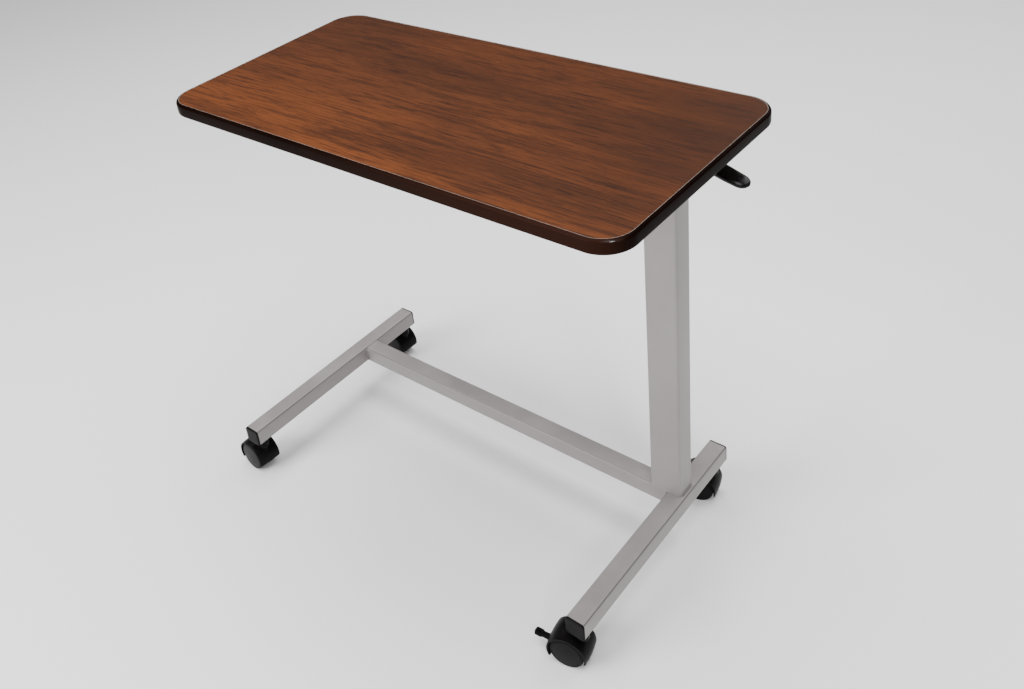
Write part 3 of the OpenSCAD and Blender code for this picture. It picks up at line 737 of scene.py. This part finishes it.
def loft(bm, stations, axes, origin, power=3.2, count=36):
    """Rings of superellipses; each station is along, up, half width, half height."""
    along, across, up = axes
    rings = []
    for at, lift, half_w, half_t in stations:
        shape = superellipse(half_w, half_t, power, count)
        rings.append(ring_of(bm, [origin + along * at + up * lift + across * x + up * z
                                  for x, z in shape]))
    skin(bm, rings)


def taper(tip, power):
    """A blunt round end: 1 where tip is 0, and 0 where it is 1."""
    return math.sqrt(max(0.0, 1 - tip ** power))


PADDLE_LONG = 56 * MM
PADDLE_THICK = 9 * MM
PADDLE_DROOP = math.radians(17)
PADDLE_STATIONS = 30


def make_paddle():
    """The release lever's paddle: a rounded blade that thickens to its root."""
    low, high = (Vector(c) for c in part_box("lever_paddle"))
    pivot = Vector(JOINTS["lever_lift"]["pos_m"])
    width = high.y - low.y
    along = Vector((math.cos(PADDLE_DROOP), 0, -math.sin(PADDLE_DROOP)))
    up = Vector((math.sin(PADDLE_DROOP), 0, math.cos(PADDLE_DROOP)))
    reach = (high.x - pivot.x - 1.3 * MM) / math.cos(PADDLE_DROOP)
    root = reach - PADDLE_LONG
    stations = []
    for i in range(PADDLE_STATIONS + 1):
        s = i / PADDLE_STATIONS
        tip = max(0.0, (s - 0.72) / 0.28)
        heel = max(0.0, (0.10 - s) / 0.10)
        belly = 0.93 + 0.07 * math.sin(math.pi * min(1.0, s * 1.4))
        half_w = width / 2 * belly * taper(tip, 2.4) * (1 - 0.22 * heel ** 2)
        half_t = PADDLE_THICK / 2 * (1.0 - 0.18 * s) * taper(tip, 3) * (1 - 0.25 * heel ** 2)
        lift = -0.5 * MM * math.sin(math.pi * s)
        stations.append((root + PADDLE_LONG * s, lift, max(half_w, 1.5 * MM),
                         max(half_t, 0.9 * MM)))
    bm = bmesh.new()
    loft(bm, stations, (along, Y, up), pivot)
    finish(from_bmesh("lever_paddle_moulding", bm), "lever_paddle", "lever")


def make_lever():
    """The lever keeps its packed outline, with its edges eased; the pin is as packed."""
    dress("release_pin")
    piece = eased_copy("release_lever", "release_lever_steel", 0.7 * MM)
    finish(piece, "release_lever", "lever")


# ---------------------------------------------------------------- brackets


def make_brackets(sizes):
    for node in ("top_bracket", "front_rail", "rear_rail"):
        piece = eased_copy(node, node + "_pressing", sizes.sheet_edge)
        finish(piece, node, "mast")
    piece = eased_copy("mast_collar", "mast_collar_moulding", 0.8 * MM)
    finish(piece, "mast_collar", "base")
    for node in ("rail_screws", "lever_pivot"):
        piece = eased_copy(node, node + "_turned", 0.5 * MM)
        finish(piece, node, "mast")


def make_inner_parts():
    """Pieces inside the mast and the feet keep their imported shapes."""
    for node in ("upper_mast", "mast_shoe", "rod_seat", "rod_nut", "piston_rod",
                 "piston", "foot_plate", "gas_cylinder", "rod_guide", "caster_sockets"):
        dress(node)


# ---------------------------------------------------------------- casters


class Caster:
    """One caster's own axes: from its axle towards the stem, along the axle, and up."""

    def __init__(self, corner):
        roll = JOINTS[corner + "_roll_a"]
        swivel = Vector(JOINTS[corner + "_swivel"]["pos_m"])
        self.corner = corner
        self.axle = Vector(roll["pos_m"])
        self.side = Vector(roll["axis"]).normalized()
        self.fore = self.side.cross(Z).normalized()
        self.trail = Vector((swivel.x - self.axle.x, swivel.y - self.axle.y, 0)).length
        self.wheel_r = extent(corner + "_wheel_a").z / 2
        self.body = corner + "_caster"

    def at(self, x, y, z):
        return self.axle + self.fore * x + self.side * y + Z * z


# Distances along the axle are from the middle of the caster's web.
WEB = 6 * MM
WHEEL_INNER = 6.8 * MM
WHEEL_WIDE = 13.5 * MM
HALF_WIDE = WHEEL_INNER + WHEEL_WIDE
BORE = 4.05 * MM
BORE_END = HALF_WIDE - 2.8 * MM
AXLE_BOSS = 8 * MM
TREAD_IN_ROUND = 3 * MM
TREAD_OUT_ROUND = 2.2 * MM
HOOD_GAP = 1.5 * MM
HOOD_WALL = 2.5 * MM
HOOD_SWELL = 1.5 * MM
HOOD_TILT = math.radians(6)
HOOD_CROWN_STEPS = 22
HOOD_EDGE_STEPS = 5
HOOD_TURNS = 56
HOOD_CUT = -9.5 * MM
WEB_TURNS = 40
NECK = 5.7 * MM
BOSS = 9 * MM
WHEEL_TURNS = 72
PEDAL_RISE = math.radians(10)


def hood_span(radius):
    """The angle from the crown at which a circle meets the skirt's cut."""
    return math.acos(HOOD_CUT / radius)


def hood_outer(c, y):
    """The hood's outer radius, which swells towards the middle of its width."""
    return c.wheel_r + HOOD_GAP + HOOD_WALL + HOOD_SWELL * (1 - (abs(y) / HALF_WIDE) ** 2.2)


def tilted(x, z):
    """Turns a point round the axle by the hood's tilt."""
    return (x * math.cos(HOOD_TILT) - z * math.sin(HOOD_TILT),
            z * math.cos(HOOD_TILT) + x * math.sin(HOOD_TILT))


def hood_profile(c, edge):
    """The closed section of the hood across its width, as y and radius."""
    inner = c.wheel_r + HOOD_GAP
    flat = HALF_WIDE - edge
    crown = [flat * (-1 + 2 * i / HOOD_CROWN_STEPS) for i in range(HOOD_CROWN_STEPS + 1)]
    points = [(y, hood_outer(c, y)) for y in crown]
    rim = hood_outer(c, flat) - edge
    shoulder = [(edge * math.sin(a), rim + edge * math.cos(a)) for a in quarter(HOOD_EDGE_STEPS)]
    points += [(flat + y, r) for y, r in shoulder]
    points += [(HALF_WIDE, inner + 0.5 * MM), (HALF_WIDE - 0.5 * MM, inner), (0.0, inner),
               (-HALF_WIDE + 0.5 * MM, inner), (-HALF_WIDE, inner + 0.5 * MM)]
    points += [(-flat - y, r) for y, r in reversed(shoulder[:-1])]
    return points


def hood_shell(bm, c, edge):
    """Sweeps the section from one tip of the skirt over the crown to the other."""
    profile = hood_profile(c, edge)
    rings = []
    spans = [-1.0] + [-1 + 2 * i / HOOD_TURNS for i in range(HOOD_TURNS + 1)] + [1.0]
    for n, t in enumerate(spans):
        at_tip = n in (0, len(spans) - 1)
        ring = []
        for y, r in profile:
            # the first and last rings are smaller, which rounds the skirt's tips
            if at_tip:
                mean = c.wheel_r + HOOD_GAP + 1.6 * MM
                r = mean + (r - mean) * 0.62
                y = y * (1 - 0.6 * MM / HALF_WIDE)
            a = t * (hood_span(r) - (0.0 if at_tip else 0.5 * MM / r))
            x, z = tilted(r * math.sin(a), r * math.cos(a))
            ring.append(c.at(x, y, z))
        rings.append(ring_of(bm, ring))
    skin(bm, rings)


def web_plate(bm, c, outline):
    """A plate as thick as the web, with this outline round the axle."""
    skin(bm, [ring_of(bm, [c.at(x, y, z) for x, z in outline]) for y in (-WEB, WEB)])


def hood_web(bm, c):
    """The web between the wheels, cut along the skirt's line, and round at the axle."""
    radius = c.wheel_r + HOOD_GAP + 1 * MM
    span = hood_span(radius)
    outline = []
    for i in range(WEB_TURNS + 1):
        a = span * (-1 + 2 * i / WEB_TURNS)
        outline.append(tilted(radius * math.sin(a), radius * math.cos(a)))
    web_plate(bm, c, outline)
    web_plate(bm, c, [(AXLE_BOSS * math.cos(a), AXLE_BOSS * math.sin(a))
                      for a in full_turn(32)])


def hood_boss(bm, c):
    """The boss round the stem, and its neck inside the web's thickness."""
    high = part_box(c.corner + "_hood")[1][2] - c.axle.z
    levels = [(12 * MM, NECK - 0.5 * MM), (12.5 * MM, NECK), (24.2 * MM, NECK),
              (24.6 * MM, BOSS - 0.7 * MM), (25.4 * MM, BOSS), (high - 2.2 * MM, BOSS),
              (high - 0.7 * MM, BOSS - 0.4 * MM), (high, BOSS - 1.2 * MM), (high, 4.1 * MM)]
    rings = []
    for z, r in levels:
        rings.append(ring_of(bm, [c.at(c.trail + r * math.cos(a), r * math.sin(a), z)
                                  for a in full_turn(40)]))
    skin(bm, rings)


def spin(bm, c, sign, profile):
    """Turns a section (radius, distance out from the web) round the axle."""
    rings = []
    for r, y in profile:
        angles = full_turn(WHEEL_TURNS) if r > 0 else [0.0]
        rings.append(ring_of(bm, [
            c.at(r * math.cos(a), sign * y, r * math.sin(a)) for a in angles]))
    for a, b in zip(rings, rings[1:]):
        if len(b) > 1:
            bridge(bm, a, b)
        else:
            for i, vert in enumerate(a):
                bm.faces.new((b[0], vert, a[(i + 1) % len(a)]))


def wheel_profile(c):
    """Section of one wheel, from the bore round the tread to the middle of the disc."""
    r = c.wheel_r
    i, o = WHEEL_INNER, HALF_WIDE
    points = [(BORE, i), (9 * MM, i), (9.6 * MM, i + 0.6 * MM), (10 * MM, i + 3 * MM),
              (r - 7 * MM, i + 3 * MM), (r - 6 * MM, i + 0.8 * MM), (r - 3 * MM, i)]
    points += [(r - TREAD_IN_ROUND * (1 - math.sin(a)), i + TREAD_IN_ROUND * (1 - math.cos(a)))
               for a in quarter(6)]
    points += [(r, i + 5 * MM), (r, o - 3.6 * MM)]
    points += [(r - TREAD_OUT_ROUND * (1 - math.cos(a)),
                o - 3.4 * MM + TREAD_OUT_ROUND * math.sin(a)) for a in quarter(6)]
    points += [(r - 2.5 * MM, o - 1.2 * MM), (r - 2.7 * MM, o - 1.6 * MM),
               (r - 3.0 * MM, o - 1.6 * MM), (r - 3.3 * MM, o - 1.0 * MM)]
    points += [((r - 3.3 * MM) * (1 - k / 8), o - 1.0 * MM + 0.9 * MM * math.sin(a))
               for k, a in enumerate(quarter(8), start=1)]
    return points


def make_wheel(c, letter, sign):
    node = f"{c.corner}_wheel_{letter}"
    bm = bmesh.new()
    spin(bm, c, sign, wheel_profile(c))
    # the bore's own wall and floor
    spin(bm, c, sign, [(BORE, WHEEL_INNER), (BORE, BORE_END), (0.0, BORE_END)])
    obj = from_bmesh(node + "_moulding", bm)
    tread = obj.data.attributes.new("tread", "FLOAT", "POINT")
    for v in obj.data.vertices:
        d = v.co - c.axle
        radial = math.hypot(d.dot(c.fore), d.z)
        tread.data[v.index].value = 1.0 if radial > c.wheel_r - 0.8 * MM else 0.0
    finish(obj, node, node)


PEDAL_LONG = 25 * MM
PEDAL_STATIONS = 40
PEDAL_RIBS = 3


def make_pedal(c):
    """The brake pedal: a tongue that rises to a thick ribbed toe, and a round heel."""
    pivot = Vector(JOINTS[c.corner + "_brake"]["pos_m"])
    back = -c.fore * math.cos(PEDAL_RISE) + Z * math.sin(PEDAL_RISE)
    up = c.fore * math.sin(PEDAL_RISE) + Z * math.cos(PEDAL_RISE)
    bm = bmesh.new()
    stations = []
    for i in range(PEDAL_STATIONS + 1):
        s = i / PEDAL_STATIONS
        toe = min(1.0, max(0.0, (s - 0.46) / 0.12))
        toe = toe * toe * (3 - 2 * toe)
        tip = max(0.0, (s - 0.86) / 0.14)
        half_w = (4.6 + 1.3 * toe) * MM * taper(tip, 2.6)
        half_t = (2.0 + 0.6 * toe) * MM * taper(tip, 3)
        stations.append((PEDAL_LONG * s, 0.0, max(half_w, 1.2 * MM), max(half_t, 0.6 * MM)))
    loft(bm, stations, (back, c.side, up), pivot, power=4.0, count=32)
    for k in range(PEDAL_RIBS):
        at = PEDAL_LONG * (0.63 + 0.11 * k)
        rib = [(at - 0.8 * MM, 2.2 * MM, 3.8 * MM, 0.7 * MM),
               (at, 2.5 * MM, 4.4 * MM, 0.9 * MM), (at + 0.8 * MM, 2.2 * MM, 3.8 * MM, 0.7 * MM)]
        loft(bm, rib, (back, c.side, up), pivot, power=2.4, count=16)
    rings = []
    for y, r in ((-6.0, 3.4), (-5.6, 4.0), (5.6, 4.0), (6.0, 3.4)):
        rings.append(ring_of(bm, [
            pivot + (c.side * y + c.fore * r * math.cos(a) + Z * r * math.sin(a)) * MM
            for a in full_turn(28)]))
    skin(bm, rings)
    node = c.corner + "_pedal"
    finish(from_bmesh(node + "_moulding", bm), node, node)
    dress(c.corner + "_pedal_pin")


def make_casters(sizes):
    """The right-hand casters have brakes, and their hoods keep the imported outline."""
    for corner in CORNERS:
        c = Caster(corner)
        braked = corner.startswith("right")
        node = corner + "_hood"
        if braked:
            piece = eased_copy(node, node + "_moulding", 0.6 * MM)
        else:
            bm = bmesh.new()
            hood_shell(bm, c, sizes.moulded_edge)
            hood_web(bm, c)
            hood_boss(bm, c)
            piece = from_bmesh(node + "_moulding", bm)
        finish(piece, node, c.body)
        make_wheel(c, "a", -1)
        make_wheel(c, "b", 1)
        for part in ("_stem", "_axle"):
            dress(corner + part)
        if braked:
            make_pedal(c)


# ---------------------------------------------------------------- stage

# Metres, radians and millimetres of lens; the shift is in frame widths.
CAMERA_AT = (0.8969, -0.9373, 1.3086)
CAMERA_YAW = 0.7528
CAMERA_PITCH = 0.4924
CAMERA_ROLL = -0.1235
CAMERA_LENS = 37.344
CAMERA_SHIFT = (0.0503, -0.1784)
FLOOR_HALF = 9.0
DAYLIGHT = 0.30
# Name, place, what it points at, size in metres and power in watts.
LAMPS = (
    ("overhead", (0.0, 0.1, 3.2), (0, 0.1, 0), (3.0, 3.0), 170),
    ("key", (-1.3, -3.0, 1.9), (0, 0, 0.4), (2.0, 1.4), 135),
    ("side", (3.0, -0.6, 0.5), (0, 0, 0.0), (1.0, 0.5), 3),
    ("rim", (0.4, 2.8, 2.2), (0, 0, 0.5), (2.0, 1.0), 22),
    ("glint", (2.3, -1.6, 2.2), (0.35, -0.15, 0.7), (0.45, 0.45), 26),
)


def stage_material(name, colour, rough):
    p = Paint(name, roughness=rough)
    cloud = p.noise(1.5, detail=3)
    p.feed("Base Color", p.mix(cloud, scaled(colour, 0.985), colour))
    p.feed("Roughness", rough - 0.04 + cloud * 0.08)
    return p.done()


def make_floor():
    s = FLOOR_HALF
    mesh = bpy.data.meshes.new("floor")
    mesh.from_pydata([(-s, -s, 0), (s, -s, 0), (s, s, 0), (-s, s, 0)], [], [(0, 1, 2, 3)])
    floor = bpy.data.objects.new("floor", mesh)
    bpy.context.scene.collection.objects.link(floor)
    floor.data.materials.append(stage_material("Pale floor", (0.90, 0.90, 0.905), 0.7))


def make_lights():
    world = bpy.data.worlds.new("Studio")
    world.use_nodes = True
    background = world.node_tree.nodes["Background"]
    background.inputs["Color"].default_value = (1, 1, 1, 1)
    background.inputs["Strength"].default_value = DAYLIGHT
    bpy.context.scene.world = world
    for name, place, target, size, watts in LAMPS:
        lamp = bpy.data.lights.new(name, "AREA")
        lamp.shape = "RECTANGLE"
        lamp.size, lamp.size_y = size
        lamp.energy = watts
        obj = bpy.data.objects.new(name, lamp)
        obj.location = place
        aim = Vector(target) - Vector(place)
        obj.rotation_euler = aim.to_track_quat("-Z", "Y").to_euler()
        bpy.context.scene.collection.objects.link(obj)


def make_camera():
    camera = bpy.data.cameras.new("camera")
    camera.sensor_width = 36
    camera.lens = CAMERA_LENS
    camera.shift_x, camera.shift_y = CAMERA_SHIFT
    camera.clip_end = 50
    obj = bpy.data.objects.new("camera", camera)
    cos_p, sin_p = math.cos(CAMERA_PITCH), math.sin(CAMERA_PITCH)
    ahead = Vector((-math.sin(CAMERA_YAW) * cos_p, math.cos(CAMERA_YAW) * cos_p, -sin_p))
    right = ahead.cross(Z).normalized()
    up = right.cross(ahead)
    cos_r, sin_r = math.cos(CAMERA_ROLL), math.sin(CAMERA_ROLL)
    rolled_right = right * cos_r + up * sin_r
    rolled_up = up * cos_r - right * sin_r
    matrix = Matrix((rolled_right, rolled_up, -ahead)).transposed().to_4x4()
    matrix.translation = Vector(CAMERA_AT)
    obj.matrix_world = matrix
    bpy.context.scene.collection.objects.link(obj)
    bpy.context.scene.camera = obj


# ---------------------------------------------------------------- operators


class TABLE_OT_finishes(bpy.types.Operator):
    """Makes every material"""

    bl_idname = "table.finishes"
    bl_label = "Finishes"

    def execute(self, context):
        mix_finishes(context.scene.table_colours)
        return {"FINISHED"}


class TABLE_OT_tubes(bpy.types.Operator):
    """Makes the base tubes and the lower mast with round corners"""

    bl_idname = "table.tubes"
    bl_label = "Tubes"

    def execute(self, context):
        make_tubes(context.scene.table_sizes)
        return {"FINISHED"}


class TABLE_OT_caps(bpy.types.Operator):
    """Makes the moulded end caps"""

    bl_idname = "table.caps"
    bl_label = "End caps"

    def execute(self, context):
        make_caps(context.scene.table_sizes)
        return {"FINISHED"}


class TABLE_OT_welds(bpy.types.Operator):
    """Makes the rippled weld beads"""

    bl_idname = "table.welds"
    bl_label = "Welds"

    def execute(self, context):
        make_welds(context.scene.table_sizes)
        return {"FINISHED"}


class TABLE_OT_top(bpy.types.Operator):
    """Makes the edge band and finishes the board"""

    bl_idname = "table.top"
    bl_label = "Top"

    def execute(self, context):
        make_band(context.scene.table_sizes)
        make_board()
        return {"FINISHED"}


class TABLE_OT_lever(bpy.types.Operator):
    """Makes the release lever and its paddle"""

    bl_idname = "table.lever"
    bl_label = "Release lever"

    def execute(self, context):
        make_paddle()
        make_lever()
        return {"FINISHED"}


class TABLE_OT_brackets(bpy.types.Operator):
    """Makes the bracket, rails, collar and screws"""

    bl_idname = "table.brackets"
    bl_label = "Brackets"

    def execute(self, context):
        make_brackets(context.scene.table_sizes)
        make_inner_parts()
        return {"FINISHED"}


class TABLE_OT_casters(bpy.types.Operator):
    """Makes the hoods, wheels and brake pedals"""

    bl_idname = "table.casters"
    bl_label = "Casters"

    def execute(self, context):
        make_casters(context.scene.table_sizes)
        return {"FINISHED"}


class TABLE_OT_stage(bpy.types.Operator):
    """Makes the floor, the lights and the camera"""

    bl_idname = "table.stage"
    bl_label = "Stage"

    def execute(self, context):
        make_floor()
        make_lights()
        make_camera()
        return {"FINISHED"}


OPERATORS = (TABLE_OT_finishes, TABLE_OT_tubes, TABLE_OT_caps, TABLE_OT_welds, TABLE_OT_top,
             TABLE_OT_lever, TABLE_OT_brackets, TABLE_OT_casters, TABLE_OT_stage)


class TABLE_PT_panel(bpy.types.Panel):
    """Lists the steps that make the table"""

    bl_idname = "TABLE_PT_panel"
    bl_label = "Overbed table"
    bl_space_type = "VIEW_3D"
    bl_region_type = "UI"
    bl_category = "Table"

    def draw(self, context):
        for settings in (context.scene.table_sizes, context.scene.table_colours):
            for key in settings.__annotations__:
                self.layout.prop(settings, key)
        for step in OPERATORS:
            self.layout.operator(step.bl_idname)


CLASSES = (TableSizes, TableColours, *OPERATORS, TABLE_PT_panel)


def register():
    for item in CLASSES:
        bpy.utils.register_class(item)
    bpy.types.Scene.table_sizes = PointerProperty(type=TableSizes)
    bpy.types.Scene.table_colours = PointerProperty(type=TableColours)


def unregister():
    del bpy.types.Scene.table_colours
    del bpy.types.Scene.table_sizes
    for item in reversed(CLASSES):
        bpy.utils.unregister_class(item)


def main():
    register()
    for step in OPERATORS:
        group, name = step.bl_idname.split(".")
        getattr(getattr(bpy.ops, group), name)()
    bpy.context.view_layer.update()


if __name__ == "__main__":
    main()
